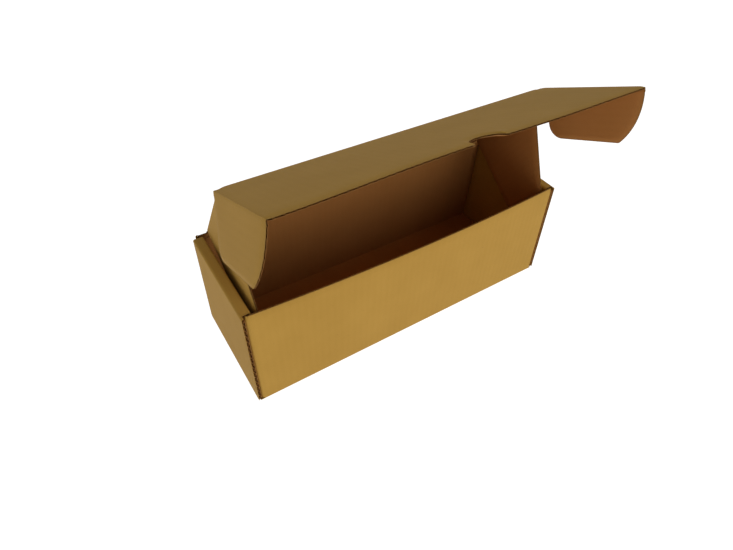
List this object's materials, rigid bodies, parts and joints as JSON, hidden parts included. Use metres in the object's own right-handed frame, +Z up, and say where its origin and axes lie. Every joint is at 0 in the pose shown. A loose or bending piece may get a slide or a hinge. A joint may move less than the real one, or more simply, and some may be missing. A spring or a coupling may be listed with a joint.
{
  "type": "corrugated mailer box",
  "caption": "Roll-end tuck-front mailer box folded from corrugated kraft board, standing with its lid raised, with a tuck flap, thumb notch and locking ears.",
  "frame": {"origin": "middle of the underside of the floor", "axes": "+X along the box to the right seen from the front, +Y from the front wall to the back wall, +Z up"},
  "size_m": [0.3279, 0.16, 0.2326],
  "materials": {
    "kraft_board": "matte brown kraft liner on both faces"
  },
  "bodies": {
    "tray": {"tray": "kraft_board"},
    "lid": {"lid": "kraft_board"},
    "tuck_flap": {"tuck_flap": "kraft_board"},
    "left_ear": {"left_ear": "kraft_board"},
    "right_ear": {"right_ear": "kraft_board"}
  },
  "joints": [
    {"name": "lid_hinge", "type": "hinge", "parent": "tray", "child": "lid", "pos_m": [0, 0.0545, 0.1053], "axis": [-1, 0, 0], "range_deg": [-2, 126.1]},
    {"name": "tuck_fold", "type": "hinge", "parent": "lid", "child": "tuck_flap", "pos_m": [0, -0.00796, 0.19095], "axis": [1, 0, 0], "range_deg": [-29.7, 60.3]},
    {"name": "left_ear_fold", "type": "hinge", "parent": "tuck_flap", "child": "left_ear", "pos_m": [-0.15355, -0.00796, 0.19095], "axis": [0, -0.9121, 0.4099], "range_deg": [-76, 14]},
    {"name": "right_ear_fold", "type": "hinge", "parent": "tuck_flap", "child": "right_ear", "pos_m": [0.15355, -0.00796, 0.19095], "axis": [0, 0.9121, -0.4099], "range_deg": [-81, 9]}
  ]
}
